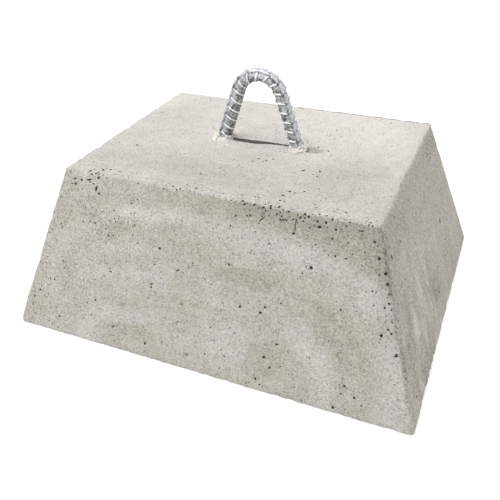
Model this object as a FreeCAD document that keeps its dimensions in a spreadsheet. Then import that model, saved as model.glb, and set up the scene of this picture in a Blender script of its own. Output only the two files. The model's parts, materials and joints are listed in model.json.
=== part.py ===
"""Precast concrete ballast block with a cast-in lifting loop, as a parametric document.

The block is a truncated pyramid that stands on its large face. One galvanised ribbed bar, bent into an arch, comes
out of the top. Inside the block its two legs splay outwards and end in feet that hook under a small mat of plain
reinforcing bars. Annealed wire ties hold the mat and the loop together, and four mortar spacers carry the mat clear
of the casting table.

Frame: origin at the centre of the base, +X along the long side, +Y across it, +Z up. Sizes are in millimetres.
"""

import FreeCAD
import Part
import Sketcher
import math
import os

OUT = "parts"

# Driving dimensions: alias, value, what it is. Everything else is worked out from these.
SIZES = [
    ("base_length", 400, "long side of the base, along X"),
    ("base_width", 327, "short side of the base, along Y"),
    ("block_height", 157, "base to top face"),
    ("draft_inset", 53, "how far each top edge lies inside the base edge below it"),
    ("arris_radius", 2.5, "rounding of the top and corner edges"),
    ("loop_bar", 12, "nominal diameter of the lifting loop's bar"),
    ("loop_rise", 73, "top face to the highest point of the loop"),
    ("loop_setback", 5, "loop's plane behind the middle of the block, along Y"),
    ("crown_radius", 22.4, "centreline radius of the arch"),
    ("leg_tilt", 19, "legs' lean from the vertical, in degrees"),
    ("foot_radius", 30, "centreline radius where a leg turns into its foot"),
    ("foot_length", 38, "straight part of a foot"),
    ("mat_bar", 8, "diameter of the mat's bars"),
    ("base_cover", 30, "concrete under the mat"),
    ("side_cover", 25, "concrete beyond the bars' ends"),
    ("bar_gap", 0.4, "clearance between bars that cross"),
    ("mat_inset", 48, "long bars inside the cross bars' ends"),
    ("end_inset", 12, "end cross bars inside the long bars' ends"),
    ("tie_wire", 1.4, "diameter of the tie wire"),
    ("tie_slack", 0.3, "clearance between a tie and its bars"),
    ("tie_tail", 14, "length of a tie's twisted tail"),
    ("spacer_setback", 40, "spacers inside the inner cross bars"),
    ("spacer_foot", 24, "side of a spacer's square foot"),
    ("spacer_head", 34, "side of a spacer's square head"),
    ("spacer_grip", 3, "how far a spacer's saddle comes up round its bar"),
    ("saddle_gap", 0.3, "clearance of the saddle round its bar"),
    ("collar_height", 4, "mortar squeezed up round each leg"),
    ("collar_foot_radius", 14, "collar's radius on the top face"),
    ("collar_head_radius", 9, "collar's radius at its top"),
    ("seam_margin", 3, "trowel seam's ends short of the collars"),
    ("seam_width", 5, "width of the seam at its middle"),
    ("seam_depth", 5, "depth of the seam"),
    ("seam_offset", 1, "seam in front of the loop's plane"),
]

doc = FreeCAD.newDocument("ballast_block")


def make_sheet():
    """The spreadsheet that holds the driving dimensions, one row each."""
    sheet = doc.addObject("Spreadsheet::Sheet", "sizes")
    for row, (alias, value, note) in enumerate(SIZES, start=1):
        sheet.set(f"A{row}", alias)
        sheet.set(f"B{row}", str(value))
        sheet.set(f"C{row}", note)
        sheet.setAlias(f"B{row}", alias)
    doc.recompute()
    return sheet


sizes = make_sheet()


def size(alias):
    """A driving dimension's value, for starting geometry that the expressions then hold."""
    return float(sizes.get(alias))


# Derived sizes, as expressions on the sheet. Heights are above the base.
DRAFT = "(sizes.draft_inset / sizes.block_height)"
LONG_Z = "(sizes.base_cover + sizes.mat_bar / 2)"
CROSS_Z = f"({LONG_Z} + sizes.mat_bar + sizes.bar_gap)"
FOOT_Z = f"({CROSS_Z} - sizes.bar_gap - (sizes.mat_bar + sizes.loop_bar) / 2)"
CROWN_Z = "(sizes.block_height + sizes.loop_rise - sizes.loop_bar / 2)"
LONG_LENGTH = f"(sizes.base_length - 2 * {DRAFT} * {LONG_Z} - 2 * sizes.side_cover)"
CROSS_LENGTH = f"(sizes.base_width - 2 * {DRAFT} * {CROSS_Z} - 2 * sizes.side_cover)"
LONG_Y = f"({CROSS_LENGTH} / 2 - sizes.mat_inset)"
END_CROSS_X = f"({LONG_LENGTH} / 2 - sizes.end_inset)"

# The arch's centre, where the legs meet the top face, and where they end in their feet.
ARCH_Z = f"({CROWN_Z} - sizes.crown_radius)"
LEAN = "tan(sizes.leg_tilt * 1 deg)"
UPRIGHT = "cos(sizes.leg_tilt * 1 deg)"
LEG_X = f"(({ARCH_Z} - sizes.block_height) * {LEAN} + sizes.crown_radius / {UPRIGHT})"
FOOT_X = (
    f"(({ARCH_Z} - {FOOT_Z} - sizes.foot_radius) * {LEAN}"
    f" + (sizes.crown_radius + sizes.foot_radius) / {UPRIGHT})"
)
SEAM_HALF = f"({LEG_X} - sizes.collar_foot_radius - sizes.seam_margin)"


def worked_out(expression):
    """The number that an expression on the sheet gives now."""
    value = sizes.evalExpression(expression)
    return float(getattr(value, "Value", value))


def bind(obj, **expressions):
    """Binds properties to expressions. A double underscore in a name stands for a dot."""
    for name, expression in expressions.items():
        obj.setExpression(name.replace("__", "."), expression)


def place(obj, x=None, y=None, z=None):
    """Binds where an object stands."""
    for axis, expression in (("x", x), ("y", y), ("z", z)):
        if expression is not None:
            obj.setExpression(f"Placement.Base.{axis}", expression)


def new_body(label):
    body = doc.addObject("PartDesign::Body", label)
    body.Label = label
    return body


def new_sketch(body, name, role, height=None):
    """A sketch on one of the body's own origin planes, moved off it by an expression."""
    sketch = body.newObject("Sketcher::SketchObject", name)
    plane = next(f for f in body.Origin.OriginFeatures if f.Role == role)
    sketch.AttachmentSupport = [(plane, "")]
    sketch.MapMode = "FlatFace"
    if height is not None:
        sketch.setExpression("AttachmentOffset.Base.z", height)
    return sketch


def dimension(sketch, name, constraint, expression):
    """Adds a named dimension that an expression drives."""
    index = sketch.addConstraint(constraint)
    sketch.renameConstraint(index, name)
    sketch.setExpression(f"Constraints.{name}", expression)


def attach(feature, body, role, **offset):
    """Fixes a primitive of the body to one of its origin planes, with an offset from it."""
    plane = next(f for f in body.Origin.OriginFeatures if f.Role == role)
    feature.AttachmentSupport = [(plane, "")]
    feature.MapMode = "FlatFace"
    for axis, expression in offset.items():
        feature.setExpression(f"AttachmentOffset.Base.{axis}", expression)


def add_frustum(body, name, length, width, height, end_length, end_width):
    """A solid with four sloping flat sides, from a rectangle at z = 0 to another one above it."""
    frustum = body.newObject("PartDesign::AdditiveWedge", name)
    attach(frustum, body, "XZ_Plane")
    for axis, start, end in (("X", length, end_length), ("Z", width, end_width)):
        for tag, expression in (("", start), ("2", end)):
            frustum.setExpression(f"{axis}{tag}max", f"{expression} / 2")
            frustum.setExpression(f"{axis}{tag}min", f"-{expression} / 2")
    bind(frustum, Ymin="0", Ymax=height)
    doc.recompute()
    return frustum


def circle(sketch, x, y, diameter):
    """A circle at a point of the sketch. x and y are expressions, or None on an axis."""
    at = FreeCAD.Vector(worked_out(x) if x else 0, worked_out(y) if y else 0, 0)
    radius = worked_out(diameter) / 2
    sketch.addGeometry(Part.Circle(at, FreeCAD.Vector(0, 0, 1), radius))
    dimension(sketch, "diameter", Sketcher.Constraint("Diameter", 0, 2 * radius), diameter)
    if x:
        dimension(sketch, "across", Sketcher.Constraint("DistanceX", -1, 1, 0, 3, at.x), x)
    else:
        sketch.addConstraint(Sketcher.Constraint("PointOnObject", 0, 3, -2))
    if y:
        dimension(sketch, "up", Sketcher.Constraint("DistanceY", -1, 1, 0, 3, at.y), y)
    else:
        sketch.addConstraint(Sketcher.Constraint("PointOnObject", 0, 3, -1))


def arc(centre, radius, first, last):
    """An arc between two directions in degrees, counterclockwise."""
    whole = Part.Circle(FreeCAD.Vector(*centre, 0), FreeCAD.Vector(0, 0, 1), radius)
    return Part.ArcOfCircle(whole, math.radians(first), math.radians(last))


def line(start, end):
    return Part.LineSegment(FreeCAD.Vector(*start, 0), FreeCAD.Vector(*end, 0))


def pipe(body, name, profile, path):
    """Sweeps a profile sketch along a path sketch."""
    feature = body.newObject("PartDesign::AdditivePipe", name)
    feature.Profile = profile
    feature.Spine = (path, [f"Edge{i + 1}" for i in range(path.GeometryCount)])
    doc.recompute()
    return feature


def make_block_blank():
    """The block before the steel is taken out of it: a drafted loft, its collars and its trowel seam."""
    body = new_body("block_blank")
    top_length = "(sizes.base_length - 2 * sizes.draft_inset)"
    top_width = "(sizes.base_width - 2 * sizes.draft_inset)"
    base = "sizes.base_length", "sizes.base_width"
    draft = add_frustum(body, "draft", *base, "sizes.block_height", top_length, top_width)
    rounded = [f"Edge{i + 1}" for i, edge in enumerate(draft.Shape.Edges) if edge.BoundBox.ZMax > 1]
    arrises = body.newObject("PartDesign::Fillet", "arrises")
    arrises.Base = (draft, rounded)
    bind(arrises, Radius="sizes.arris_radius")
    for side, sign in (("left", "-"), ("right", "")):
        collar = body.newObject("PartDesign::AdditiveCone", f"collar_{side}")
        attach(collar, body, "XY_Plane", x=f"{sign}{LEG_X}", y="sizes.loop_setback", z="sizes.block_height")
        bind(
            collar,
            Radius1="sizes.collar_foot_radius",
            Radius2="sizes.collar_head_radius",
            Height="sizes.collar_height",
        )
    doc.recompute()
    cut_seam(body)
    return body


def cut_seam(body):
    """The lens-shaped slit that the trowel leaves in front of the legs."""
    sketch = new_sketch(body, "seam_outline", "XY_Plane", "sizes.block_height")
    half, rise = worked_out(SEAM_HALF), size("seam_width") / 2
    middle = size("loop_setback") - size("seam_offset")
    radius = (half**2 + rise**2) / (2 * rise)
    swing = math.degrees(math.asin(half / radius))
    sketch.addGeometry(arc((0, middle + rise - radius), radius, 90 - swing, 90 + swing))
    sketch.addGeometry(arc((0, middle - rise + radius), radius, 270 - swing, 270 + swing))
    sketch.addConstraint(Sketcher.Constraint("Coincident", 0, 2, 1, 1))
    sketch.addConstraint(Sketcher.Constraint("Coincident", 0, 1, 1, 2))
    sketch.addConstraint(Sketcher.Constraint("Equal", 0, 1))
    sketch.addConstraint(Sketcher.Constraint("Symmetric", 0, 1, 0, 2, -2))
    dimension(sketch, "reach", Sketcher.Constraint("DistanceX", 0, 2, 0, 1, 2 * half), f"2 * {SEAM_HALF}")
    back = "sizes.loop_setback - sizes.seam_offset"
    dimension(sketch, "back", Sketcher.Constraint("DistanceY", -1, 1, 0, 1, middle), back)
    bow = f"({SEAM_HALF} ^ 2 + (sizes.seam_width / 2) ^ 2) / sizes.seam_width"
    dimension(sketch, "bow", Sketcher.Constraint("Radius", 0, radius), bow)
    before = body.Shape.Volume
    seam = body.newObject("PartDesign::Pocket", "seam")
    seam.Profile = sketch
    bind(seam, Length="sizes.seam_depth")
    doc.recompute()
    if body.Shape.Volume >= before:
        raise RuntimeError("the trowel seam cuts nothing")


def make_lifting_loop():
    """One bent bar: half of it is swept from the crown down to the foot, then mirrored."""
    body = new_body("lifting_loop")
    place(body, y="sizes.loop_setback")
    crown, lean = size("crown_radius"), math.radians(size("leg_tilt"))
    bend, foot = size("foot_radius"), size("foot_length")
    centre, low, foot_start = worked_out(ARCH_Z), worked_out(FOOT_Z), worked_out(FOOT_X)
    leg_top = (crown * math.cos(lean), centre + crown * math.sin(lean))
    leg_end = (foot_start - bend * math.cos(lean), low + bend - bend * math.sin(lean))
    path = new_sketch(body, "loop_path", "XZ_Plane")
    path.addGeometry(arc((0, centre), crown, math.degrees(lean), 90))
    path.addGeometry(line(leg_top, leg_end))
    path.addGeometry(arc((foot_start, low + bend), bend, 180 + math.degrees(lean), 270))
    path.addGeometry(line((foot_start, low), (foot_start + foot, low)))
    path.addConstraint(Sketcher.Constraint("PointOnObject", 0, 3, -2))
    path.addConstraint(Sketcher.Constraint("PointOnObject", 0, 2, -2))
    path.addConstraint(Sketcher.Constraint("Tangent", 0, 1, 1, 1))
    path.addConstraint(Sketcher.Constraint("Tangent", 1, 2, 2, 1))
    path.addConstraint(Sketcher.Constraint("Tangent", 2, 2, 3, 1))
    path.addConstraint(Sketcher.Constraint("Horizontal", 3))
    dimension(path, "crown", Sketcher.Constraint("Radius", 0, crown), "sizes.crown_radius")
    dimension(path, "bend", Sketcher.Constraint("Radius", 2, bend), "sizes.foot_radius")
    turned = Sketcher.Constraint("Angle", 0, math.pi / 2 - lean)
    dimension(path, "turn", turned, "(90 - sizes.leg_tilt) * 1 deg")
    dimension(path, "foot", Sketcher.Constraint("Distance", 3, foot), "sizes.foot_length")
    dimension(path, "centre", Sketcher.Constraint("DistanceY", -1, 1, 0, 3, centre), ARCH_Z)
    dimension(path, "sole", Sketcher.Constraint("DistanceY", -1, 1, 3, 2, low), FOOT_Z)
    section = new_sketch(body, "loop_section", "YZ_Plane")
    circle(section, None, CROWN_Z, "sizes.loop_bar")
    doc.recompute()
    half = pipe(body, "half_loop", section, path)
    mirrored = body.newObject("PartDesign::Mirrored", "whole_loop")
    mirrored.Originals = [half]
    plane = next(f for f in body.Origin.OriginFeatures if f.Role == "YZ_Plane")
    mirrored.MirrorPlane = (plane, [""])
    body.Tip = mirrored
    return body


def make_mat_bar(label, length, along_x, x="0", y="0", z="0"):
    """A straight bar of the mat, centred on the point given."""
    bar = doc.addObject("Part::Cylinder", label)
    bar.Label = label
    bind(bar, Radius="sizes.mat_bar / 2", Height=length)
    if along_x:
        bar.Placement.Rotation = FreeCAD.Rotation(FreeCAD.Vector(0, 1, 0), 90)
        place(bar, x=f"{x} - {length} / 2", y=y, z=z)
    else:
        bar.Placement.Rotation = FreeCAD.Rotation(FreeCAD.Vector(1, 0, 0), -90)
        place(bar, x=x, y=f"{y} - {length} / 2", z=z)
    return bar


def make_tie(label, lower_bar, x, y, lower_z):
    """A wire tie round a crossing: a closed ring on the diagonal, and the twisted tail on top of it.

    The cross bar lies on top of the lower bar, so the ring is as tall as their centres are apart.
    """
    body = new_body(label)
    body.Placement.Rotation = FreeCAD.Rotation(FreeCAD.Vector(0, 0, 1), 45)
    place(body, x, y, lower_z)
    half = f"(sqrt(2) * (({lower_bar} + sizes.tie_wire) / 2 + sizes.tie_slack))"
    apart = f"(({lower_bar} + sizes.mat_bar) / 2 + sizes.bar_gap)"
    reach, rise = worked_out(half), worked_out(apart)
    path = new_sketch(body, "ring_path", "XZ_Plane")
    path.addGeometry(line((reach, 0), (reach, rise)))
    path.addGeometry(arc((0, rise), reach, 0, 180))
    path.addGeometry(line((-reach, rise), (-reach, 0)))
    path.addGeometry(arc((0, 0), reach, 180, 360))
    path.addConstraint(Sketcher.Constraint("Tangent", 0, 2, 1, 1))
    path.addConstraint(Sketcher.Constraint("Tangent", 1, 2, 2, 1))
    path.addConstraint(Sketcher.Constraint("Tangent", 2, 2, 3, 1))
    path.addConstraint(Sketcher.Constraint("Coincident", 3, 2, 0, 1))
    path.addConstraint(Sketcher.Constraint("Vertical", 0))
    path.addConstraint(Sketcher.Constraint("Coincident", 3, 3, -1, 1))
    dimension(path, "reach", Sketcher.Constraint("Radius", 3, reach), half)
    dimension(path, "rise", Sketcher.Constraint("Distance", 0, rise), apart)
    section = new_sketch(body, "wire_section", "XY_Plane")
    circle(section, half, None, "sizes.tie_wire")
    doc.recompute()
    pipe(body, "ring", section, path)
    tail = body.newObject("PartDesign::AdditiveCylinder", "tail")
    attach(tail, body, "XY_Plane", z=f"{apart} + {half} - sizes.tie_wire / 2")
    bind(tail, Radius="sizes.tie_wire", Height="sizes.tie_tail")
    return body


def make_spacer(label, x, y):
    """A mortar spacer: a block that widens upwards, with a saddle for the long bar."""
    body = new_body(label)
    place(body, x, y)
    foot, head = "sizes.spacer_foot", "sizes.spacer_head"
    add_frustum(body, "flare", foot, foot, "(sizes.base_cover + sizes.spacer_grip)", head, head)
    before = body.Shape.Volume
    groove = new_sketch(body, "saddle_outline", "YZ_Plane")
    circle(groove, None, LONG_Z, "sizes.mat_bar + 2 * sizes.saddle_gap")
    saddle = body.newObject("PartDesign::Pocket", "saddle")
    saddle.Profile = groove
    saddle.Midplane = True
    bind(saddle, Length="2 * sizes.spacer_head")
    doc.recompute()
    if body.Shape.Volume >= before:
        raise RuntimeError(f"the saddle of {label} cuts nothing")
    return body


def make_reinforcement():
    """The mat's bars, the wire ties at its crossings, and the spacers under it."""
    steel = []
    rows = (("front", f"-{LONG_Y}"), ("rear", LONG_Y))
    columns = (
        ("left_end", f"-{END_CROSS_X}"),
        ("left", f"-{FOOT_X}"),
        ("right", FOOT_X),
        ("right_end", END_CROSS_X),
    )
    for row, y in rows:
        steel.append(make_mat_bar(f"mat_long_bar_{row}", LONG_LENGTH, True, y=y, z=LONG_Z))
    for column, x in columns:
        steel.append(make_mat_bar(f"mat_cross_bar_{column}", CROSS_LENGTH, False, x=x, z=CROSS_Z))
        for row, y in rows:
            steel.append(make_tie(f"tie_wire_{column}_{row}", "sizes.mat_bar", x, y, LONG_Z))
    for side, sign in (("left", "-"), ("right", "")):
        foot_tie = (f"loop_tie_{side}", "sizes.loop_bar", f"{sign}{FOOT_X}", "sizes.loop_setback", FOOT_Z)
        steel.append(make_tie(*foot_tie))
        for row, y in rows:
            x = f"{sign}({FOOT_X} - sizes.spacer_setback)"
            steel.append(make_spacer(f"cover_spacer_{side}_{row}", x, y))
    return steel


def make_concrete(blank, embedded):
    """The cast body: the blank with a seat cut for every piece that it holds."""
    tools = doc.addObject("Part::Compound", "embedded")
    tools.Links = embedded
    concrete = doc.addObject("Part::Cut", "concrete_block")
    concrete.Label = "concrete_block"
    concrete.Base = blank
    concrete.Tool = tools
    return concrete


def check(parts):
    """Stops the build if an object failed, or a sub-part's shape isn't one sound solid."""
    for obj in doc.Objects:
        if {"Invalid", "Error"} & set(obj.State):
            raise RuntimeError(f"{obj.Label} failed: {obj.State}")
    for part in parts:
        shape = part.Shape
        if shape.isNull() or not shape.isValid() or len(shape.Solids) != 1:
            raise RuntimeError(f"{part.Label} is not one valid solid")


def main():
    blank = make_block_blank()
    loop = make_lifting_loop()
    steel = make_reinforcement()
    concrete = make_concrete(blank, [loop, *steel])
    doc.recompute()
    parts = [concrete, loop, *steel]
    check(parts)
    os.makedirs(OUT, exist_ok=True)
    for part in parts:
        part.Shape.exportStep(os.path.join(OUT, f"{part.Label}.step"))
        print(f"{part.Label}: {part.Shape.Volume / 1000:.3f} cm3")


main()
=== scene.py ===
"""A precast concrete ballast block with a cast-in lifting loop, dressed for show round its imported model.

Lengths are in metres in the model's own frame: the base stands on z = 0 and its long side runs along X.
"""

import json
import math
import random

import bmesh
import bpy
from mathutils import Matrix, Vector, noise


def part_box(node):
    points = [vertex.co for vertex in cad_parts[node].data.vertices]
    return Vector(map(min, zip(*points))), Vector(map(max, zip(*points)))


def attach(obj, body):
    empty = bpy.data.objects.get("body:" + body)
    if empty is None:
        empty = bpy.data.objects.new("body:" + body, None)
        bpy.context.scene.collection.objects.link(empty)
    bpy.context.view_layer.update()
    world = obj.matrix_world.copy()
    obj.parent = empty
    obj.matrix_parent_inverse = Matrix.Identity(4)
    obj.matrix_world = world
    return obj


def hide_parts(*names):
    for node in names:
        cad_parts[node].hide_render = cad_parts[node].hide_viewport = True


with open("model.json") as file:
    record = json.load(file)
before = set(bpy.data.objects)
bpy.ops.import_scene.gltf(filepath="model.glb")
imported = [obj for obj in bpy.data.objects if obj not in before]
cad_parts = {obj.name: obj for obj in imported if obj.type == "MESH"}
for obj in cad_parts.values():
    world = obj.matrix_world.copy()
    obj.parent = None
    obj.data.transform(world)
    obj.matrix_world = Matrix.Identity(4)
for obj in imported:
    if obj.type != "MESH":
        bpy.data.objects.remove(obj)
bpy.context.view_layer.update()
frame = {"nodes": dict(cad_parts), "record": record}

MM = 0.001
# Heights and lengths closer than this count as the same.
LEVEL = 0.01 * MM

# The block, read from the model.
BLOCK_LOW, BLOCK_HIGH = (Vector(corner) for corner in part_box("concrete_block"))
LOOP_LOW, LOOP_HIGH = (Vector(corner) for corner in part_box("lifting_loop"))
MOUNTS = {mount["name"]: mount for mount in frame["record"]["mounts"]}
HEIGHT = MOUNTS["top_face"]["pos_m"][2]
HALF_LENGTH, HALF_WIDTH = BLOCK_HIGH.x, BLOCK_HIGH.y
INSET = 53 * MM
SLOPE = math.hypot(HEIGHT, INSET)
DRAFT = INSET / HEIGHT

# The lifting loop: its bar, its bends, and the ribs that the mill rolled on it.
BAR = (LOOP_HIGH.y - LOOP_LOW.y) / 2
LOOP_Y = (LOOP_HIGH.y + LOOP_LOW.y) / 2
ARCH = 22.4 * MM
LEAN = math.radians(19)
FOOT_BEND = 30 * MM
CROWN_Z = LOOP_HIGH.z - BAR
FOOT_Z = LOOP_LOW.z + BAR
ARCH_Z = CROWN_Z - ARCH
ARC_RUN = ARCH * (math.pi / 2 - LEAN)
FOOT_X = (ARCH_Z - FOOT_Z - FOOT_BEND) * math.tan(LEAN) + (ARCH + FOOT_BEND) / math.cos(LEAN)
LEG_TOP = Vector((ARCH * math.cos(LEAN), 0, ARCH_Z + ARCH * math.sin(LEAN)))
LEG_END = Vector((FOOT_X - FOOT_BEND * math.cos(LEAN), 0, FOOT_Z + FOOT_BEND * (1 - math.sin(LEAN))))
LEG_RUN = (LEG_END - LEG_TOP).length
BEND_RUN = FOOT_BEND * (math.pi / 2 - LEAN)
FOOT_RUN = LOOP_HIGH.x - FOOT_X
HALF_RUN = ARC_RUN + LEG_RUN + BEND_RUN + FOOT_RUN
SHOWN_RUN = ARC_RUN + (LEG_TOP.z - HEIGHT) / math.cos(LEAN)
LEG_X = LEG_TOP.x + (LEG_TOP.z - HEIGHT) * math.tan(LEAN)
RIB_PITCH = 9.35 * MM
RIB_HEIGHT = 1.3 * MM
RIB_LEAD = 2.3 * MM
SEAM_TURN = math.radians(50)

# Width of the cover spacers' feet, which are flush in the underside.
SPACER_FOOT = 24 * MM


def ease(value, low, high):
    """0 below low, 1 above high, and a smooth step between."""
    t = min(max((value - low) / (high - low), 0), 1)
    return t * t * (3 - 2 * t)


def wobble(point, size, seed=0):
    """Smooth noise between about -1 and 1, whose lumps are about that size."""
    return noise.noise(Vector(point) / size + Vector((seed * 17.3, seed * 5.1, seed * 9.7)))


# ---------------------------------------------------------------- finishes


class Field:
    """A shader socket that takes part in arithmetic."""

    def __init__(self, tree, socket):
        self.tree, self.socket = tree, socket

    def math(self, operation, *values, clamp=False):
        node = self.tree.nodes.new("ShaderNodeMath")
        node.operation, node.use_clamp = operation, clamp
        for slot, value in zip(node.inputs, values):
            wire(self.tree, slot, value)
        return Field(self.tree, node.outputs[0])

    def __add__(self, other):
        return self.math("ADD", self, other)

    def __sub__(self, other):
        return self.math("SUBTRACT", self, other)

    def __mul__(self, other):
        return self.math("MULTIPLY", self, other)

    def __truediv__(self, other):
        return self.math("DIVIDE", self, other)

    def __radd__(self, other):
        return self.math("ADD", other, self)

    def __rsub__(self, other):
        return self.math("SUBTRACT", other, self)

    def __rmul__(self, other):
        return self.math("MULTIPLY", other, self)

    def __pow__(self, other):
        return self.math("POWER", self, other)

    def clamp(self):
        return self.math("ADD", self, 0, clamp=True)

    def least(self, other):
        return self.math("MINIMUM", self, other)

    def most(self, other):
        return self.math("MAXIMUM", self, other)

    def size(self):
        return self.math("ABSOLUTE", self)


def wire(tree, slot, value):
    """Sets a socket to a number or colour, or links a field to it."""
    if isinstance(value, Field):
        tree.links.new(value.socket, slot)
    elif value is not None:
        slot.default_value = value[:3] if slot.type == "VECTOR" else value


class Finish:
    """A material with one Principled shader, and the fields that drive it."""

    def __init__(self, name, constants=None):
        self.material = bpy.data.materials.new(name)
        self.material.use_nodes = True
        self.tree = self.material.node_tree
        self.shader = self.tree.nodes["Principled BSDF"]
        for key, value in (constants or {}).items():
            self.shader.inputs[key].default_value = value
        self.place = self.node("ShaderNodeTexCoord", out="Object")

    def node(self, kind, sockets=None, out=0, **settings):
        """Adds a node, gives it its settings, then its sockets, and returns one of its outputs."""
        node = self.tree.nodes.new(kind)
        for key, value in settings.items():
            setattr(node, key, value)
        for key, value in (sockets or {}).items():
            wire(self.tree, node.inputs[key], value)
        return Field(self.tree, node.outputs[out])

    def axis(self, name):
        return self.node("ShaderNodeSeparateXYZ", {0: self.place}, out=name)

    def stretched(self, x=1, y=1, z=1):
        """The place, so that a pattern on it is pulled out along each axis by a factor."""
        return self.node("ShaderNodeMapping", {"Vector": self.place, "Scale": (1 / x, 1 / y, 1 / z)})

    def grain(self, size, detail=2, rough=0.5, place=None, warp=0.0):
        """Noise between 0 and 1 with lumps of about that size."""
        sockets = {
            "Vector": place or self.place,
            "Scale": 1 / size,
            "Detail": detail,
            "Roughness": rough,
            "Distortion": warp,
        }
        return self.node("ShaderNodeTexNoise", sockets)

    def cells(self, size, place=None):
        """How far a point lies from the nearest of many scattered ones, as a share of their spacing."""
        sockets = {"Vector": place or self.place, "Scale": 1 / size}
        return self.node("ShaderNodeTexVoronoi", sockets, out="Distance")

    def step(self, value, low, high, start=0, end=1):
        """Goes smoothly from start to end as the value goes from low to high."""
        sockets = {"Value": value, "From Min": low, "From Max": high, "To Min": start, "To Max": end}
        return self.node("ShaderNodeMapRange", sockets, interpolation_type="SMOOTHSTEP")

    def mix(self, share, first, second):
        """Mixes two colours by a share."""
        sockets = {0: share, 6: first, 7: second}
        return self.node("ShaderNodeMix", sockets, out=2, data_type="RGBA", clamp_factor=True)

    def shade(self, colour, share):
        """A colour made lighter or darker by a factor that may vary."""
        vector = self.node("ShaderNodeCombineXYZ", {0: share, 1: share, 2: share})
        return self.node("ShaderNodeVectorMath", {0: colour, 1: vector}, operation="MULTIPLY")

    def relief(self, height, distance, under=None):
        """A bump of that height in metres, over any other bump."""
        sockets = {"Height": height, "Distance": distance, "Strength": 1, "Normal": under}
        return self.node("ShaderNodeBump", sockets)

    def finish(self, colour, roughness=None, normal=None, metallic=None):
        """Gives the shader its fields, and returns the finished material."""
        fields = {"Base Color": colour, "Roughness": roughness, "Normal": normal, "Metallic": metallic}
        for key, value in fields.items():
            wire(self.tree, self.shader.inputs[key], value)
        return self.material


def rgb(red, green, blue):
    return (red, green, blue, 1)


def cast_concrete(name, tone=1.0, marked=True, whiter=0.0):
    """Grey cast concrete: a two-toned cement skin over gritty sand, with pin holes.

    Marked concrete also shows what the mould and the trowel left on it, and its painted light and shade.
    """
    look = Finish(name, {"Specular IOR Level": 0.2})
    clouds = look.grain(0.050, detail=3, rough=0.55, warp=0.4)
    blots = look.grain(0.012, detail=4, rough=0.65)
    sand = look.grain(0.0036, detail=4, rough=0.85)
    speckle = look.grain(0.0018, detail=2, rough=0.7)
    pale = (clouds - 0.5) * 1.6 + (blots - 0.5) * 1.8
    dark, weight = 0, 1
    if marked:
        marks, dark, weight, whiter = marks_and_painted_light(look)
        pale = pale + marks
    pin_holes = look.step(look.cells(0.0030), 0.10, 0.26, 1, 0)
    pin_holes = pin_holes * look.step(look.grain(0.010, detail=1), 0.44, 0.58)
    blow_holes = look.step(look.cells(0.0085), 0.05, 0.11, 1, 0)
    blow_holes = blow_holes * look.step(look.grain(0.02, detail=1), 0.45, 0.55)
    specks = look.step(look.cells(0.0036, place=look.stretched(x=1.3)), 0.10, 0.26, 1, 0)
    specks = specks * look.step(look.grain(0.014, detail=1), 0.48, 0.62)
    holes = (pin_holes * 0.7 + blow_holes).clamp()
    value = 1 + pale * 0.16 + ((sand - 0.5) * 0.75 + (speckle - 0.5) * 1.2 + specks * 0.14) * weight
    # Painted shade: the pin and blow holes are painted darker.
    value = value * (1 - holes * 0.45) * (1 - dark)
    skin = look.mix((pale * 1.2 + 0.42 + whiter).clamp(), rgb(0.356, 0.345, 0.299), rgb(0.360, 0.346, 0.324))
    colour = look.shade(look.shade(skin, value.most(0.1)), tone)
    fine = look.relief(sand * 0.5 + speckle * 0.5, 0.0009)
    bumps = look.relief(blots * 0.7 + clouds, 0.0012, under=fine)
    pits = look.relief(1 - holes, 0.0008, under=bumps)
    rough = look.step(sand, 0.2, 0.8, 0.82, 0.94)
    return look.finish(colour, rough, pits)


# Arcs on the front, in millimetres: reach to each side of their middle, height, thickness and strength, and
# where each starts and ends along X. The skin beyond the outer arc is dull.
ARC_MIDDLE = 8
CLOTH_ARCS = (
    (172, 141, 6, 1.15, -105, -15),
    (172, 141, 8, 0.55, -175, 120),
    (178, 139, 13, 0.26, 60, 185),
    (165, 128, 6, 0.50, -20, 90),
    (172, 107, 5, 1.0, -118, -45),
    (168, 98, 4, 0.55, -125, -60),
    (182, 82, 5, 1.2, -118, -40),
    (180, 72, 4, 0.55, -100, 40),
    (176, 60, 4, 0.6, -100, 20),
    (132, 41, 6, 1.2, -125, -40),
    (140, 30, 5, 0.5, -60, 60),
    (118, 64, 8, 1.0, 80, 135),
    (150, 100, 4, -0.55, 75, 170),
    (136, 86, 4, -0.45, 75, 150),
)
OUTER_ARC = (178, 139)

# Patches, in millimetres: centre, reach each way, and strength. The dull ones are on the front, the floated
# ones on the top, and the rain's on the right side. The large pale floated patch at the top's right rear is
# also painted light.
DULLED = (
    (40, 100, 34, 11, 1.3),
    (66, 28, 22, 18, 0.7),
    (112, 78, 14, 20, 0.7),
    (132, 50, 12, 34, 0.6),
    (-142, 70, 16, 26, 0.4),
    (-96, 124, 30, 10, 0.7),
    (-10, 60, 60, 10, 0.5),
    (-72, 24, 60, 8, 0.6),
    (30, 45, 24, 28, -0.5),
    (88, 128, 30, 12, -0.5),
    (150, 108, 20, 16, -0.6),
)
FLOATED = (
    # Partly painted light: this patch paints the top's right rear paler, as if lit there.
    (70, 50, 75, 90, 0.8),
    (-12, 12, 60, 30, 0.7),
    (-105, 60, 30, 40, -0.4),
    (100, -30, 36, 60, -0.5),
    (-30, -70, 90, 22, -0.4),
)
RAINED = (
    (-6, 40, 20, 16, 1),
    (-95, 145, 60, 22, 0.7),
    (90, 150, 60, 12, 0.6),
    (40, 118, 60, 10, 0.3),
)

# A faint crack runs along the top behind the loop, and a shallow hollow lies beside the loop's right foot,
# painted darker as painted shade.
CRACK_Y = 39
HOLLOW_X, HOLLOW_Y = 52, 6
HOLLOW_LONG, HOLLOW_WIDE, HOLLOW_DEEP = 15, 9, 3.0


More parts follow.
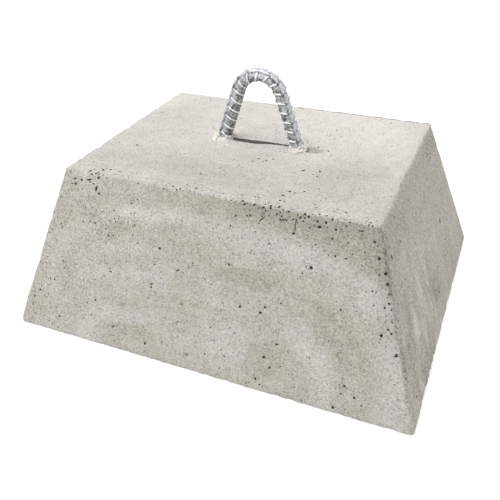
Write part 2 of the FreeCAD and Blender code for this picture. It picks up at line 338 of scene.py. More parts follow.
class Spot:
    """Where a shaded point lies on the block, which face it is on, and the noise that frays its marks."""

    def __init__(self, look):
        self.x, self.y, z = (look.axis(letter) for letter in "XYZ")
        self.up = z * (SLOPE / HEIGHT)
        self.to_top = HEIGHT - z
        self.to_front, self.to_back = self.y + HALF_WIDTH - z * DRAFT, HALF_WIDTH - self.y - z * DRAFT
        self.to_right, self.to_left = HALF_LENGTH - self.x - z * DRAFT, self.x + HALF_LENGTH - z * DRAFT
        self.top = look.step(self.to_top, 1.2 * MM, 2.4 * MM, 1, 0)
        self.front = look.step(self.to_front, 1.5 * MM, 3 * MM, 1, 0) * (1 - self.top)
        self.right = look.step(self.to_right, 1.5 * MM, 3 * MM, 1, 0) * (1 - self.top)
        self.ragged = look.grain(0.018, detail=5, rough=0.7) - 0.5


def marks_and_painted_light(look):
    """What mould, oil cloth and trowel left on the block, and the painted light and shade on it.

    Returns how much paler and darker the skin is, how strongly its grit shows, and how much whiter it is.
    """
    spot = Spot(look)
    pale, dark, weight = 0, edge_marks(look, spot), 1.05
    for on_face, face_marks in ((spot.front, front_marks), (spot.top, top_marks), (spot.right, right_marks)):
        paler, darker, grittier = face_marks(look, spot)
        pale = pale + paler * on_face
        dark = dark + darker * on_face
        weight = weight + grittier * on_face
    return pale, dark, weight, spot.top * 0.6 - spot.right * 0.5


def edge_marks(look, spot):
    """How dark the painted shade makes the top's worn edges, most of all along the rear of the top."""
    nearest = spot.to_front.least(spot.to_right).least(spot.to_back.least(spot.to_left))
    arris = look.step(spot.to_top.most(nearest), 0.5 * MM, 3 * MM, 1, 0)
    rear = look.step(spot.to_back, 3 * MM, 5 * MM, 1, 0) * look.step(spot.to_top, 1.5 * MM, 2.5 * MM, 1, 0)
    rear_edge_shade = rear * look.step(spot.x, -50 * MM, -20 * MM) * look.step(spot.ragged, -0.3, -0.02)
    return arris * 0.06 + rear_edge_shade * 0.5


def front_marks(look, spot):
    """How much paler, darker and grittier the front is.

    It shows the cloth's arcs, grit along its crest and its right corner, and painted light low down beside
    its right corner.
    """
    # Painted light: the front is painted paler low down beside its right corner.
    beside = look.step(spot.to_right, 2 * MM, 30 * MM, 1, 0) * look.step(spot.up, 60 * MM, 100 * MM, 1, 0)
    crest = look.step(spot.to_top, 1 * MM, 16 * MM, 1, 0) * look.step(spot.x, -10 * MM, 60 * MM)
    corner = look.step(spot.to_right, 2 * MM, 26 * MM, 1, 0) * look.step(spot.up, 60 * MM, 90 * MM)
    grit = (corner + crest).clamp() * look.grain(0.004, detail=3, rough=0.8)
    past_left_end = look.step(spot.x, -110 * MM, -50 * MM)
    return cloth_marks(look, spot) + beside * 0.5, grit * 0.22, past_left_end * -0.18


def top_marks(look, spot):
    """How much paler, darker and grittier the top is.

    It is floated smooth and gritty at its front brink, and painted paler: partly its paler trowelled skin,
    partly painted light from above, most towards the rear.
    """
    brushed = look.grain(0.004, detail=2, rough=0.6, place=look.stretched(x=9)) - 0.5
    floated = patches(look, spot, spot.x, spot.y, FLOATED)
    # Painted light: the top is painted lighter towards the rear.
    painted_light_at_rear = look.step(spot.y, -110 * MM, 110 * MM, -0.55, 0.75)
    crack = look.step((spot.y - CRACK_Y * MM + spot.ragged * 3 * MM).size(), 0.4 * MM, 1.6 * MM, 1, 0)
    crack = crack * patch(look, spot, spot.x, spot.y, -20, CRACK_Y, 20, 8)
    # Painted shade: the hollow beside the right foot is painted darker.
    hollow = patch(look, spot, spot.x, spot.y, HOLLOW_X, HOLLOW_Y, HOLLOW_LONG, HOLLOW_WIDE - 1)
    brink = look.step(spot.to_front, 2 * MM, 11 * MM, 1, 0) * look.step(spot.x, -90 * MM, 10 * MM, 0.3, 1)
    # The 0.55 and the -0.09 paint the whole top paler: partly its paler trowelled skin, partly painted light
    # from above.
    return 0.55 + brushed + floated + painted_light_at_rear, crack * 0.14 + hollow * 0.55 - 0.09, brink * 0.5 - 0.52


def right_marks(look, spot):
    """How much paler, darker and grittier the right side is.

    It shows runs and the marks of rain, and painted shade beside the front corner.
    """
    runs = look.grain(0.019, detail=3, rough=0.6, place=look.stretched(z=9)) - 0.5
    low = look.step(spot.up, 60 * MM, 120 * MM, 1, 0.3)
    near_edge = look.step(spot.y, -30 * MM, 10 * MM, 1, 0.25)
    rain = patches(look, spot, spot.y, spot.up, RAINED)
    # Painted shade: a dark band on the right side beside the front corner.
    shade_by_front_corner = look.step(spot.to_front + spot.ragged * 14 * MM, 3 * MM, 15 * MM, 1, 0)
    shade_by_front_corner = shade_by_front_corner * look.step(spot.up, 90 * MM, 130 * MM, 1, 0.5)
    return runs * 8 * low * near_edge - rain * 0.9, shade_by_front_corner * 0.13, 0.15


def cloth_marks(look, spot):
    """Pale arcs that the oily cloth left on the front of the mould, and the dull skin round them."""
    arcs = 0
    for wide, tall, thick, strength, start, end in CLOTH_ARCS:
        reach = arc_reach(spot, wide, tall)
        half = thick / tall
        band = look.step(reach.size(), half * 0.1, half * 1.5, 1, 0)
        span = look.step(spot.x, (start - 20) * MM, (start + 25) * MM)
        span = span * look.step(spot.x, (end - 25) * MM, (end + 20) * MM, 1, 0)
        arcs = arcs + band * span * strength
    beyond = look.step(arc_reach(spot, *OUTER_ARC), 0, 0.11) * look.step(spot.x, -60 * MM, 70 * MM, 0.15, 1.4)
    return (arcs - beyond - patches(look, spot, spot.x, spot.up, DULLED)) * 0.8


def arc_reach(spot, wide, tall):
    """How far a point of the front lies outside an arc, as a share of the arc's own reach."""
    across, along = (spot.x - ARC_MIDDLE * MM).size() / (wide * MM), spot.up / (tall * MM)
    return (across**3 + along**3) ** (1 / 3) - 1 + spot.ragged * 0.10


def patch(look, spot, x, y, at_x, at_y, wide, tall):
    """A soft-edged oval patch, 1 inside and 0 outside. Sizes are millimetres."""
    across, along = (x - at_x * MM) / (wide * MM), (y - at_y * MM) / (tall * MM)
    return look.step((across * across + along * along) ** 0.5 + spot.ragged * 1.1, 0.45, 1.2, 1, 0)


def patches(look, spot, x, y, rows):
    """The sum of many patches. A row has a patch's centre, its reach each way, and its strength."""
    total = 0
    for *oval, strength in rows:
        total = total + patch(look, spot, x, y, *oval) * strength
    return total


def zinc_bar():
    """Galvanised ribbed bar: painted light outside the arch, painted shade inside it, and painted highlights
    on its ribs.
    """
    look = Finish("galvanised_ribbed_bar")
    lift, outside, seam_shadow = (
        look.node("ShaderNodeAttribute", attribute_name=name, attribute_type="GEOMETRY", out="Fac")
        for name in ("lift", "outside", "seam_shadow")
    )
    mottle = look.grain(0.0042, detail=4, rough=0.7)
    fine = look.grain(0.0017, detail=3, rough=0.7)
    weathered = look.step(mottle + outside * 0.12, 0.38, 0.62)
    # Painted shade at the feet of the ribs.
    rib_foot_shade = look.step(lift, 0.02, 0.14) * look.step(lift, 0.25, 0.5, 1, 0)
    # Painted light and shade: the outside of the arch is painted paler and the inside darker, and the rib
    # tops are painted highlights.
    tone = 0.14 + outside * 0.16 + weathered * 0.36 + look.step(lift, 0.25, 1.0) * 0.75
    tone = tone + (fine - 0.5) * (1.7 - outside * 0.9)
    tone = tone - rib_foot_shade * 0.32 - seam_shadow * look.step(mottle, 0.30, 0.55, 0.5, 0.2)
    colour = look.mix(weathered, rgb(0.70, 0.72, 0.68), rgb(0.87, 0.89, 0.93))
    colour = look.shade(colour, tone.most(0.06).least(1))
    rough = (0.42 + (fine - 0.5) * 0.5 - lift * 0.10 + weathered * 0.10).clamp()
    bump = look.relief(mottle * 0.6 + fine * 0.4, 0.0008)
    return look.finish(colour, rough, bump, 0.7)


def rolled_steel(name, bright, rust):
    """Plain reinforcing steel: blue-black mill scale with rust coming through."""
    look = Finish(name)
    patches = look.step(look.grain(0.012, detail=4, rough=0.65), 0.42, 0.62)
    scale = look.shade(rgb(*bright), 0.75 + look.grain(0.003, detail=3) * 0.5)
    colour = look.mix(patches * rust, scale, rgb(0.20, 0.075, 0.03))
    bump = look.relief(look.grain(0.0012, detail=3), 0.0002)
    return look.finish(colour, 0.45 + patches * 0.35, bump, 0.8 - patches * 0.5)


# ---------------------------------------------------------------- the block


def new_piece(name, mesh, *finishes):
    """Makes a shown piece of the object from a finished bmesh."""
    data = bpy.data.meshes.new(name)
    mesh.to_mesh(data)
    mesh.free()
    for finish in finishes:
        data.materials.append(finish)
    data.polygons.foreach_set("use_smooth", [True] * len(data.polygons))
    piece = bpy.data.objects.new(name, data)
    bpy.context.collection.objects.link(piece)
    return piece


# How many times the skin is cut across X, Y and Z.
SKIN_CUTS = (150, 122, 62)


def crowd(t):
    """Spreads even cuts of a side, -0.5 to 0.5, so that they lie closer near its ends."""
    return 1.3 * t - 1.2 * t**3


def corner_radius(x, y, z):
    """Plan radius of an upright corner. The corners were knocked a little near the ground."""
    knocked = 3.0 if x < 0 and y < 0 else 1.0
    return (2.6 + knocked * math.exp(-z / (9 * MM))) * MM


def cast_shape(u, v, w):
    """Where a point of the unit cube lies on the rounded, drafted block."""
    x, y, z = 2 * HALF_LENGTH * crowd(u), 2 * HALF_WIDTH * crowd(v), HEIGHT * (crowd(w) + 0.5)
    radius = corner_radius(x, y, z)
    inner = Vector((max(-HALF_LENGTH + radius, min(HALF_LENGTH - radius, x)),
                    max(-HALF_WIDTH + radius, min(HALF_WIDTH - radius, y))))
    out = Vector((x, y)) - inner
    edge = 1.4 * MM
    if out.length > 0:
        reach = max(abs(out.x), abs(out.y))
        out = out.normalized()
        from_wall = radius - reach
        for gap, sign in ((HEIGHT - z, 1), (z, -1)):
            if from_wall < edge and gap < edge:
                turned = Vector((edge - from_wall, edge - gap))
                turned = turned.normalized() * max(turned)
                from_wall = edge - turned.x
                z = HEIGHT - edge + turned.y if sign > 0 else edge - turned.y
                break
        inner = inner + out * (radius - from_wall)
    x, y = inner
    return Vector((x * (1 - z * DRAFT / HALF_LENGTH), y * (1 - z * DRAFT / HALF_WIDTH), z))


def depths(p):
    """How far inside the block's six nominal faces a point lies, nearest first."""
    lean = SLOPE / HEIGHT
    return sorted((
        (HALF_LENGTH - abs(p.x) - p.z * DRAFT) / lean,
        (HALF_WIDTH - abs(p.y) - p.z * DRAFT) / lean,
        HEIGHT - p.z,
        p.z,
    ))


def worn(p):
    """How far the cast surface stands from its nominal face, along its normal."""
    height = 0.30 * wobble(p, 45 * MM) + 0.12 * wobble(p, 13 * MM, 1) + 0.07 * wobble(p, 4 * MM, 2)
    near_edge = 1 - ease(depths(p)[1], 0.4 * MM, 4 * MM)
    chips = max(0, wobble(p, 7 * MM, 3) - 0.1) * 1.6 + max(0, wobble(p, 2.6 * MM, 4)) * 0.8
    rough_corner = 1 + 0.9 * (p.x > 0 and p.y < 0) * ease(HEIGHT - p.z, 3 * MM, 15 * MM)
    if p.y < 0 and p.z > HEIGHT - 4 * MM:
        rough_corner += 0.3 + 0.8 * ease(p.x, -20 * MM, 40 * MM)
    height -= near_edge * (0.15 + chips * rough_corner)
    if p.z > HEIGHT - 1 * MM:
        height -= trowelled(p.x / MM, p.y / MM)
    return height * MM


def trowelled(x, y):
    """Depth in millimetres of the hollow that the trowel left in the top."""
    away = math.hypot((x - HOLLOW_X) / HOLLOW_LONG, (y - HOLLOW_Y) / HOLLOW_WIDE)
    return HOLLOW_DEEP * (1 - ease(away, 0.35, 1))


def make_skin():
    """The cast surface without its holes."""
    mesh = bmesh.new()
    bmesh.ops.create_cube(mesh, size=1)
    for axis, cuts in enumerate(SKIN_CUTS):
        along = [e for e in mesh.edges if abs((e.verts[0].co - e.verts[1].co)[axis]) > LEVEL]
        bmesh.ops.subdivide_edges(mesh, edges=along, cuts=cuts, use_grid_fill=True)
    for vert in mesh.verts:
        vert.co = cast_shape(*vert.co)
    mesh.normal_update()
    for vert in mesh.verts:
        if vert.co.z > LEVEL / 10:
            vert.co += vert.normal * worn(vert.co)
            vert.co.z = max(vert.co.z, 0)
    under = [f for f in mesh.faces if f.normal.z < -0.99 and f.calc_center_median().z < LEVEL]
    bmesh.ops.dissolve_faces(mesh, faces=under, use_verts=True)
    bmesh.ops.triangulate(mesh, faces=mesh.faces[:])
    return mesh


def on_face(face, along, up):
    """A point of a face and the face's outward normal. along and up are millimetres on the face."""
    along, up = along * MM, up * MM
    if face == "top":
        return Vector((along, up, HEIGHT)), Vector((0, 0, 1))
    if face == "base":
        return Vector((along, up, 0)), Vector((0, 0, -1))
    z = up * HEIGHT / SLOPE
    tilt = Vector((HEIGHT / SLOPE, INSET / SLOPE))
    if face in ("front", "back"):
        sign = -1 if face == "front" else 1
        return Vector((along, sign * (HALF_WIDTH - z * DRAFT), z)), Vector((0, sign * tilt.x, tilt.y))
    sign = -1 if face == "left" else 1
    return Vector((sign * (HALF_LENGTH - z * DRAFT), along, z)), Vector((sign * tilt.x, 0, tilt.y))


def half_run(face, up):
    """Half the length of a face, in millimetres, at a height on it."""
    if face in ("top", "base"):
        return (HALF_LENGTH - (INSET if face == "top" else 0)) / MM
    half = HALF_LENGTH if face in ("front", "back") else HALF_WIDTH
    return (half - up * MM / SLOPE * INSET) / MM


# Where trapped air left its holes, in millimetres: face, centre along and up, spread each way, count, radius.
AIR = (
    ("front", 0, 82, 190, 82, 90, 0.52),
    ("front", 20, 75, 150, 75, 34, 0.82),
    ("front", -120, 158, 24, 6, 8, 1.3),
    ("front", -98, 122, 28, 12, 32, 0.62),
    ("front", 78, 159, 45, 6, 40, 0.85),
    ("front", 79, 146, 1, 1, 1, 1.5),
    ("front", 97, 122, 1, 1, 1, 1.2),
    ("front", 149, 140, 1, 1, 1, 1.3),
    ("front", 175, 65, 1, 1, 1, 1.25),
    ("front", 58, 72, 1, 1, 1, 1.1),
    ("front", 65, 33, 1, 1, 1, 1.0),
    ("front", 70, 146, 60, 14, 20, 0.65),
    ("front", -165, 40, 22, 36, 26, 0.70),
    ("front", 60, 14, 90, 14, 14, 0.7),
    ("right", 0, 82, 150, 82, 24, 0.7),
    ("right", -69, 90, 1, 1, 1, 1.7),
    ("right", 63, 77, 1, 1, 1, 1.7),
    ("right", 92, 62, 1, 1, 1, 1.9),
    ("right", -77, 133, 1, 1, 1, 1.4),
    ("right", -107, 137, 1, 1, 1, 1.5),
    ("right", 92, 150, 26, 10, 26, 0.9),
    ("left", 0, 82, 150, 82, 110, 0.8),
    ("left", 60, 150, 40, 12, 20, 0.9),
    ("back", 0, 82, 190, 82, 150, 0.8),
    ("back", -60, 156, 60, 8, 26, 0.95),
    ("top", 0, 0, 147, 110, 60, 0.55),
    ("top", 20, -102, 120, 7, 34, 0.8),
    ("top", 62, 30, 14, 34, 6, 0.85),
    ("top", 68, 8, 1, 1, 1, 1.5),
    ("top", 68, 60, 1, 1, 1, 1.1),
    ("top", 16, -32, 12, 14, 5, 0.9),
    ("top", 72, -62, 14, 30, 8, 1.0),
    ("top", -112, -100, 10, 8, 5, 1.1),
    ("base", 0, 0, 180, 150, 50, 0.9),
)


# Worm holes and cracks: face, centre along and up, half length and half width, and turn in degrees.
CRACKS = (
    ("front", 79, 153, 6.5, 0.5, 88),
    ("front", 50, 153, 4.0, 0.45, 55),
    ("front", 132, 159, 2.2, 0.5, 10),
    ("front", 68, 156, 3.0, 0.5, 20),
    ("front", -112, 152, 3.2, 0.9, 70),
    ("front", -120, 159, 3.0, 0.8, 20),
    ("top", -34, 0, 4.0, 0.7, 100),
    ("back", 30, 150, 5.0, 0.5, 80),
)

# Chips in the top's front edge: from and to along it, how many, and radius, all in millimetres.
CHIPPED = (
    (-140, -100, 8, 0.75),
    (-100, 20, 16, 0.55),
    (20, 112, 40, 0.80),
    (112, 143, 14, 0.75),
)

# The radius in millimetres that no hole or chip goes beyond, and how many places are tried for each hole.
LARGEST_HOLE, LARGEST_CHIP = 2.3, 1.15
TRIES = 30

# Where the loop's feet and the spacers are, in millimetres, and how far the air holes keep clear of them.
FEET_Y, FEET_CLEAR_X, FEET_CLEAR_Y = 5, 56, 14
SPACER_X, SPACER_Y, SPACER_CLEAR = 62, 76, 20

# Air holes that crowd along an upright edge: face, which end of it (1 or -1), and then as for the others,
# with the centre along measured inwards from that edge.
EDGE_AIR = (
    ("front", 1, 5, 118, 3.5, 40, 20, 0.72),
    ("front", 1, 10, 105, 8, 56, 22, 0.55),
    ("front", -1, 9, 90, 7, 60, 14, 0.6),
    ("right", -1, 8, 100, 6, 60, 24, 0.8),
)


def fits(face, along, up, radius):
    """Whether an air hole lies well inside its face, clear of the loop's feet and of the spacers."""
    if face in ("top", "base"):
        inside = abs(up) < (HALF_WIDTH - (INSET if face == "top" else 0)) / MM - 1.5 * radius
    else:
        inside = 2 * radius < up < SLOPE / MM - 1.3 * radius
    if face == "top":
        kept_clear = abs(up - FEET_Y) < FEET_CLEAR_Y and abs(along) < FEET_CLEAR_X
    else:
        away = max(abs(abs(along) - SPACER_X), abs(abs(up) - SPACER_Y))
        kept_clear = face == "base" and away < SPACER_CLEAR
    return inside and abs(along) < half_run(face, up) - 1.5 * radius and not kept_clear


def scatter_air():
    """Picks each air hole's place, facing and radius, with none in another's way."""
    dice = random.Random(11)
    holes = []
    anywhere = [(face, 0, *rest) for face, *rest in AIR]
    for face, side, along, up, wide, tall, count, radius in (*anywhere, *EDGE_AIR):
        for _ in range(count):
            for _ in range(TRIES):
                a, b = along + dice.uniform(-1, 1) * wide, up + dice.uniform(-1, 1) * tall
                if side:
                    a = side * (half_run(face, b) - a)
                size = min(radius * math.exp(dice.gauss(0, 0.38)), LARGEST_HOLE)
                place, normal = on_face(face, a, b)
                apart = all((place - other).length > (size * MM + taken) * 1.7 for other, _, taken in holes)
                if apart and fits(face, a, b, size):
                    holes.append((place, normal, size * MM))
                    break
    return holes


def arris_chips():
    """Picks the chips knocked out of the top's front edge: each one's place, facing and radius."""
    dice = random.Random(17)
    chips = []
    for low, high, count, radius in CHIPPED:
        for _ in range(count):
            down = abs(dice.gauss(0, 1.1)) * MM
            back = dice.uniform(0, 1.6) * MM if down < 0.5 * MM else 0
            y = back - HALF_WIDTH + (HEIGHT - down) * DRAFT
            place = Vector((dice.uniform(low, high) * MM, y, HEIGHT - down - 0.15 * MM))
            size = min(radius * math.exp(dice.gauss(0, 0.35)), LARGEST_CHIP) * MM
            if all((place - other).length > (size + taken) * 1.4 for other, _, taken in chips):
                chips.append((place, Vector((0, -0.7, 0.7)), size))
    return chips


def cut_hollows(holes, cracks=()):
    """The shape of holes and cracks, to be taken out of the skin."""
    dice = random.Random(5)
    mesh = bmesh.new()
    for face, along, up, length, thick, turn in cracks:
        place, normal = on_face(face, along, up)
        ahead = normal.cross(Vector((0, 0, 1) if face != "top" else (0, 1, 0))).normalized()
        side = Matrix((-ahead, normal.cross(-ahead), normal)).transposed().to_4x4()
        long = Matrix.Diagonal((length * MM, thick * MM, 1.6 * MM, 1))
        at = Matrix.Translation(place) @ side @ Matrix.Rotation(math.radians(turn), 4, "Z") @ long
        made = bmesh.ops.create_icosphere(mesh, subdivisions=3, radius=1, matrix=at)
        for vert in made["verts"]:
            vert.co += Vector((wobble(vert.co, 3 * MM, 8), wobble(vert.co, 3 * MM, 9), 0)) * 0.7 * MM
    for place, normal, radius in holes:
        fine = 2 if radius > 0.6 * MM else 1
        facing = normal.to_track_quat("Z", "Y").to_matrix().to_4x4()
        turn = facing @ Matrix.Rotation(dice.uniform(0, math.tau), 4, "Z")
        stretch = Matrix.Diagonal((1, dice.uniform(0.62, 1), dice.uniform(0.8, 1.3), 1))
        sunk = place - normal * radius * dice.uniform(0.0, 0.35)
        at = Matrix.Translation(sunk) @ turn @ stretch
        made = bmesh.ops.create_icosphere(mesh, subdivisions=fine, radius=radius, matrix=at)
        if radius > 0.9 * MM:
            for vert in made["verts"]:
                vert.co += (vert.co - sunk) * 0.5 * wobble(vert.co, 1.3 * MM, 7)
    return mesh


def trowel_seam():
    """The thin slit where the mortar patched round the loop has come away."""
    mesh = bmesh.new()
    half_length, half_width, depth = 36 * MM, 2.6 * MM, 6 * MM
    lens = Matrix.Diagonal((half_length, half_width, depth, 1))
    bmesh.ops.create_icosphere(mesh, subdivisions=5, radius=1, matrix=lens)
    for vert in mesh.verts:
        vert.co.y *= 0.5 if vert.co.y > 0 else 2.5 - 1.3 * ease(vert.co.x, -5 * MM, 18 * MM)
    middle = Matrix.Translation((-1.5 * MM, LOOP_Y + 1.4 * MM, HEIGHT - 0.6 * MM))
    mesh.transform(middle @ Matrix.Rotation(0.03, 4, "Z"))
    for vert in mesh.verts:
        bend = 0.8 * wobble((vert.co.x, 0, 0), 11 * MM, 5)
        vert.co.y += (bend + 0.5 * wobble(vert.co, 2.4 * MM, 6)) * MM
    return mesh


def settle(piece):
    """Makes what a piece's modifiers show its mesh for good."""
    shaped = bpy.data.meshes.new_from_object(piece.evaluated_get(bpy.context.evaluated_depsgraph_get()))
    piece.modifiers.clear()
    old, piece.data = piece.data, shaped
    bpy.data.meshes.remove(old)


def subtract(piece, mesh, name, finish=1):
    """Takes a bmesh's shape out of a piece for good. What it cuts gets that one of the piece's finishes."""
    for face in mesh.faces:
        face.material_index = finish
    tool = new_piece(name, mesh, *piece.data.materials)
    cut = piece.modifiers.new(name, "BOOLEAN")
    cut.operation, cut.solver, cut.object = "DIFFERENCE", "MANIFOLD", tool
    settle(piece)
    bpy.data.objects.remove(tool)


def spacer_seats():
    """The holes in the underside that the cover spacers fill, drawn on past it to cut it cleanly."""
    mesh = bmesh.new()
    for name in frame["nodes"]:
        if not name.startswith("cover_spacer_"):
            continue
        low, high = (Vector(corner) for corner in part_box(name))
        middle, wide = (low + high) / 2, high.x - low.x
        made = bmesh.ops.create_cube(mesh, size=1)
        for vert in made["verts"]:
            half = wide / 2 + 0.05 * MM if vert.co.z > 0 else SPACER_FOOT / 2
            level = high.z + 0.1 * MM if vert.co.z > 0 else 0
            x, y = middle.x + math.copysign(half, vert.co.x), middle.y + math.copysign(half, vert.co.y)
            vert.co = Vector((x, y, level))
        bottom = [face for face in mesh.faces if all(abs(vert.co.z) < LEVEL for vert in face.verts)]
        pulled = bmesh.ops.extrude_face_region(mesh, geom=bottom)["geom"]
        corners = [part for part in pulled if isinstance(part, bmesh.types.BMVert)]
        bmesh.ops.translate(mesh, vec=(0, 0, -2 * MM), verts=corners)
        bmesh.ops.delete(mesh, geom=bottom, context="FACES_ONLY")
    return mesh


def make_block(*finishes):
    """The cast block. Its finishes are those of its skin, and the painted shade on the walls of the air
    holes, chips, cracks and torn seam.
    """
    piece = new_piece("cast_block", make_skin(), *finishes)
    subtract(piece, cut_hollows(scatter_air(), CRACKS), "air")
    subtract(piece, cut_hollows(arris_chips()), "chips")
    subtract(piece, trowel_seam(), "seam", finish=2)
    subtract(piece, spacer_seats(), "seats")
    for face in piece.data.polygons:
        if face.normal.z < -0.99 and face.center.z < LEVEL:
            face.use_smooth = False
    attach(piece, "root")
    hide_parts("concrete_block")
    return piece


# ---------------------------------------------------------------- the loop


def along_loop(run):
    """The bar's centre at a run from the crown's top, and the direction that faces out of the arch."""
    sign, run = (-1 if run < 0 else 1), abs(run)
    if run < ARC_RUN:
        angle = math.pi / 2 - run / ARCH
        out = Vector((math.cos(angle), 0, math.sin(angle)))
        place = Vector((0, 0, ARCH_Z)) + out * ARCH
    elif run < ARC_RUN + LEG_RUN:
        out = Vector((math.cos(LEAN), 0, math.sin(LEAN)))
        place = LEG_TOP.lerp(LEG_END, (run - ARC_RUN) / LEG_RUN)
    elif run < ARC_RUN + LEG_RUN + BEND_RUN:
        angle = LEAN + (run - ARC_RUN - LEG_RUN) / FOOT_BEND
        out = Vector((math.cos(angle), 0, math.sin(angle)))
        place = Vector((FOOT_X, 0, FOOT_Z + FOOT_BEND)) - out * FOOT_BEND
    else:
        out = Vector((0, 0, 1))
        place = Vector((FOOT_X + run - HALF_RUN + FOOT_RUN, 0, FOOT_Z))
    place.x, out.x = sign * place.x, sign * out.x
    place.y = LOOP_Y
    return place, out


def rib_lift(run, turn):
    """How proud the bar's skin and its ribs are, 0 to 1, and where a painted shadow lies.

    Two rows of crescents lean opposite ways between two seams, and a painted shadow lies along one side of
    each seam.
    """
    shown = 1 - ease(abs(run), SHOWN_RUN + 3 * MM, SHOWN_RUN + 9 * MM)
    turn = (turn - SEAM_TURN) % math.tau
    outer = turn < math.pi
    share = (turn if outer else turn - math.pi) / math.pi
    lead = RIB_LEAD * math.pi * share * (-1 if outer else 1)
    phase = ((run - lead) / RIB_PITCH + (0.5 if outer else 0.15)) % 1
    away = abs(phase - 0.5) * RIB_PITCH
    crescent = math.sin(math.pi * share) ** 0.7
    rib = (1 - ease(away, 0.4 * MM, 1.8 * MM)) * crescent
    seam_gap = min(share, 1 - share) * math.pi * BAR
    seam = 0.8 * (1 - ease(seam_gap, 0.7 * MM, 1.6 * MM))
    # Painted shadow along one side of each seam.
    seam_shadow = 1 - ease(abs((1 - share) * math.pi * BAR - 2.0 * MM), 0.3 * MM, 1.1 * MM)
    return max(rib, seam) * shown, rib * shown, seam_shadow * shown


def make_loop(zinc):
    """The ribbed bar: turned straight, ribbed, then bent to the loop."""
    sides, fine, coarse = 44, 0.42 * MM, 5 * MM
    shown = SHOWN_RUN + 10 * MM
    hidden_rings = math.ceil((HALF_RUN - shown) / coarse)
    shown_rings = math.ceil(2 * shown / fine)
    rings = shown_rings + 2 * hidden_rings
    mesh = bmesh.new()
    bmesh.ops.create_cone(mesh, cap_ends=True, segments=sides, radius1=1, radius2=1, depth=rings)
    long_edges = [e for e in mesh.edges if abs(e.verts[0].co.z - e.verts[1].co.z) > 1]
    bmesh.ops.subdivide_edges(mesh, edges=long_edges, cuts=rings - 1)
    lift_layer = mesh.verts.layers.float.new("lift")
    outside_layer = mesh.verts.layers.float.new("outside")
    seam_shadow_layer = mesh.verts.layers.float.new("seam_shadow")
    for vert in mesh.verts:
        step = vert.co.z + rings / 2
        if step < hidden_rings:
            run = -HALF_RUN + (HALF_RUN - shown) * step / hidden_rings
        elif step > rings - hidden_rings:
            run = HALF_RUN - (HALF_RUN - shown) * (rings - step) / hidden_rings
        else:
            run = -shown + 2 * shown * (step - hidden_rings) / shown_rings
        turn = math.atan2(vert.co.y, vert.co.x)
        lift, vert[lift_layer], vert[seam_shadow_layer] = rib_lift(run, turn)
        # How far the skin faces out of the arch, which the bar's finish paints paler as painted light.
        vert[outside_layer] = 0.5 + 0.5 * math.sin(turn)
        place, out = along_loop(run)
        radius = BAR + 0.15 * MM + RIB_HEIGHT * lift + 0.07 * MM * wobble((run, 0, turn * BAR), 3 * MM, 8)
        vert.co = place + radius * (math.cos(turn) * Vector((0, -1, 0)) + math.sin(turn) * out)
    bmesh.ops.recalc_face_normals(mesh, faces=mesh.faces[:])
    piece = new_piece("ribbed_loop", mesh, zinc)
    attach(piece, "root")
    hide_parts("lifting_loop")
    return piece


# Lumps of mortar at each foot: how many lie close and how many loose. In millimetres, how near the leg's
# middle the nearest lie, how far the close ones go, and how far the loose ones.
CLOSE_LUMPS, LOOSE_LUMPS = 57, 33
NEAREST, CLOSE_REACH, LOOSE_REACH = 6.2, 12, 24


def mortar_collar(mesh, foot, sign):
    """The cone of mortar round a foot, pulled in where the seam or the hollow comes up to it."""
    ring = {"radius1": 14 * MM, "radius2": 7.6 * MM, "depth": 3.4 * MM}
    at = Matrix.Translation(foot + Vector((0, 0, 0.6 * MM)))
    collar = bmesh.ops.create_cone(mesh, cap_ends=True, segments=32, matrix=at, **ring)
    kept = 7 * MM
    for vert in collar["verts"]:
        outwards = (vert.co.x - foot.x) * sign
        if outwards < -kept or (outwards > kept and sign > 0):
            vert.co.x = foot.x + sign * math.copysign(kept + 0.4 * (abs(outwards) - kept), outwards)


def mortar_lump(mesh, foot, sign, dice, loose):
    """One lump of mortar, either up against a foot or loose on the top in front of it."""
    angle, reach = dice.uniform(0, math.tau), dice.uniform(NEAREST, CLOSE_REACH) * MM
    size = dice.uniform(1.0, 2.4) * MM * (1.15 - (reach - NEAREST * MM) / (16 * MM))
    if loose:
        angle, reach = dice.uniform(-2.6, -0.4), dice.uniform(CLOSE_REACH, LOOSE_REACH) * MM
        size = dice.uniform(0.5, 1.4) * MM
    inwards, sideways = -sign * math.cos(angle), abs(math.sin(angle))
    over_seam = inwards > 0 and sideways < 0.35
    over_hollow = inwards < 0 and sideways < 0.6 and sign > 0
    if reach > 9 * MM and (over_seam or over_hollow):
        return
    rise = max(0, 4.2 * MM * (1 - (reach - 6 * MM) / (6.5 * MM)))
    out = Vector((math.cos(angle) * reach, math.sin(angle) * reach, rise * dice.uniform(0.2, 1)))
    turn = dice.uniform(0, math.tau)
    turned = Matrix.Rotation(turn, 4, Vector((dice.gauss(0, 1), dice.gauss(0, 1), 1)))
    flat = Matrix.Diagonal((1, dice.uniform(0.6, 1), dice.uniform(0.5, 0.9), 1))
    at = Matrix.Translation(foot + out) @ turned @ flat
    bmesh.ops.create_icosphere(mesh, subdivisions=2, radius=size, matrix=at)


def make_lumps(mortar):
    """Mortar pushed up round the feet of the loop and left rough, with crumbs of it in front."""
    dice = random.Random(3)
    mesh = bmesh.new()
    for sign in (-1, 1):
        foot = Vector((sign * LEG_X, LOOP_Y, HEIGHT))
        mortar_collar(mesh, foot, sign)
        for lump in range(CLOSE_LUMPS + LOOSE_LUMPS):
            mortar_lump(mesh, foot, sign, dice, loose=lump >= CLOSE_LUMPS)
    for vert in mesh.verts:
        vert.co += Vector([wobble(vert.co, 2 * MM, seed) for seed in (1, 2, 3)]) * 0.5 * MM
    piece = new_piece("foot_mortar", mesh, mortar)
    grown = piece.modifiers.new("one_lump", "REMESH")
    grown.mode, grown.voxel_size, grown.use_smooth_shade = "VOXEL", 0.45 * MM, True
    settle(piece)
    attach(piece, "root")
    return piece


# ---------------------------------------------------------------- the stage


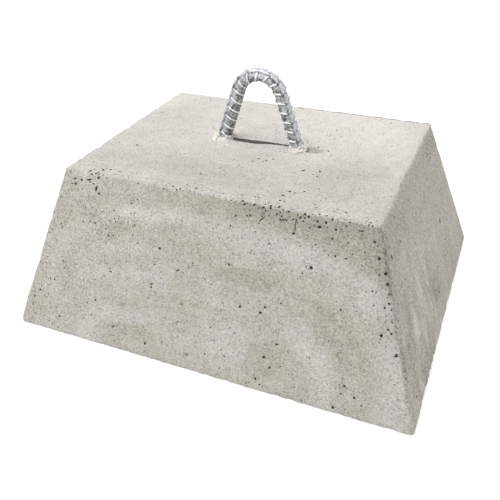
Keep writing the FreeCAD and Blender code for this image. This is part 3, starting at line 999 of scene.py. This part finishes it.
def make_stage():
    """A pale floor under an even white surround, with one large soft lamp high up on the left."""
    mesh = bmesh.new()
    below = Matrix.Translation((0, 0, -0.3 * MM))
    bmesh.ops.create_grid(mesh, x_segments=1, y_segments=1, size=6, matrix=below)
    lit = {"Roughness": 0.9, "Emission Color": rgb(1, 1, 1), "Emission Strength": 0.12}
    floor = new_piece("floor", mesh, Finish("pale_floor", lit).finish(rgb(0.85, 0.85, 0.85)))
    world = bpy.data.worlds.new("surround")
    world.use_nodes = True
    surround = world.node_tree.nodes["Background"].inputs
    surround["Color"].default_value, surround["Strength"].default_value = rgb(1, 1, 1), 1.0
    bpy.context.scene.world = world
    lamp = bpy.data.lights.new("soft_lamp", "AREA")
    lamp.shape, lamp.size, lamp.size_y, lamp.energy = "RECTANGLE", 2.0, 2.0, 34
    holder = bpy.data.objects.new("soft_lamp", lamp)
    bpy.context.collection.objects.link(holder)
    towards, distance, middle = Vector((-0.33, -0.22, 0.92)).normalized(), 1.9, Vector((0, 0, 0.1))
    holder.location = towards * distance + middle
    holder.rotation_euler = towards.to_track_quat("Z", "Y").to_euler()


def make_camera():
    """The camera, in front of the block, a little to its right and above it."""
    camera = bpy.data.cameras.new("camera")
    camera.lens, camera.sensor_width = 44.226, 36
    camera.clip_start, camera.clip_end = 0.01, 50
    holder = bpy.data.objects.new("camera", camera)
    bpy.context.collection.objects.link(holder)
    place = Vector((0.2166, -0.5149, 0.4000))
    heading, tilt, roll = math.radians(23.973), math.radians(90 - 33.272), math.radians(-1.652)
    turn = Matrix.Rotation(heading, 4, "Z") @ Matrix.Rotation(tilt, 4, "X") @ Matrix.Rotation(roll, 4, "Z")
    holder.matrix_world = Matrix.Translation(place) @ turn
    bpy.context.scene.camera = holder


def dress_inside():
    """Gives the steel and the spacers inside the block their finishes."""
    steel = rolled_steel("mat_bar_scale", (0.075, 0.078, 0.085), 0.75)
    wire_black = rolled_steel("annealed_wire", (0.035, 0.034, 0.034), 0.35)
    mortar = cast_concrete("spacer_mortar", tone=0.8, marked=False)
    for name, node in frame["nodes"].items():
        if name in ("concrete_block", "lifting_loop"):
            continue
        finish = steel if name.startswith("mat_") else wire_black if "tie" in name else mortar
        node.data.materials.clear()
        node.data.materials.append(finish)


def main():
    """Builds the visible block, loop and mortar, dresses the steel inside, and sets the stage."""
    view = bpy.context.scene.view_settings
    view.view_transform, view.look, view.exposure, view.gamma = "Standard", "None", 0, 1
    concrete = cast_concrete("cast_concrete")
    # Painted shade: the walls of the air holes, chips and cracks, and of the torn seam, get darker concrete.
    hollow = cast_concrete("painted_shade_in_holes", tone=0.22, marked=False)
    make_block(concrete, hollow, cast_concrete("painted_shade_in_seam", tone=0.5, marked=False))
    make_loop(zinc_bar())
    make_lumps(cast_concrete("foot_mortar", tone=1.62, marked=False, whiter=0.6))
    dress_inside()
    make_stage()
    make_camera()


main()
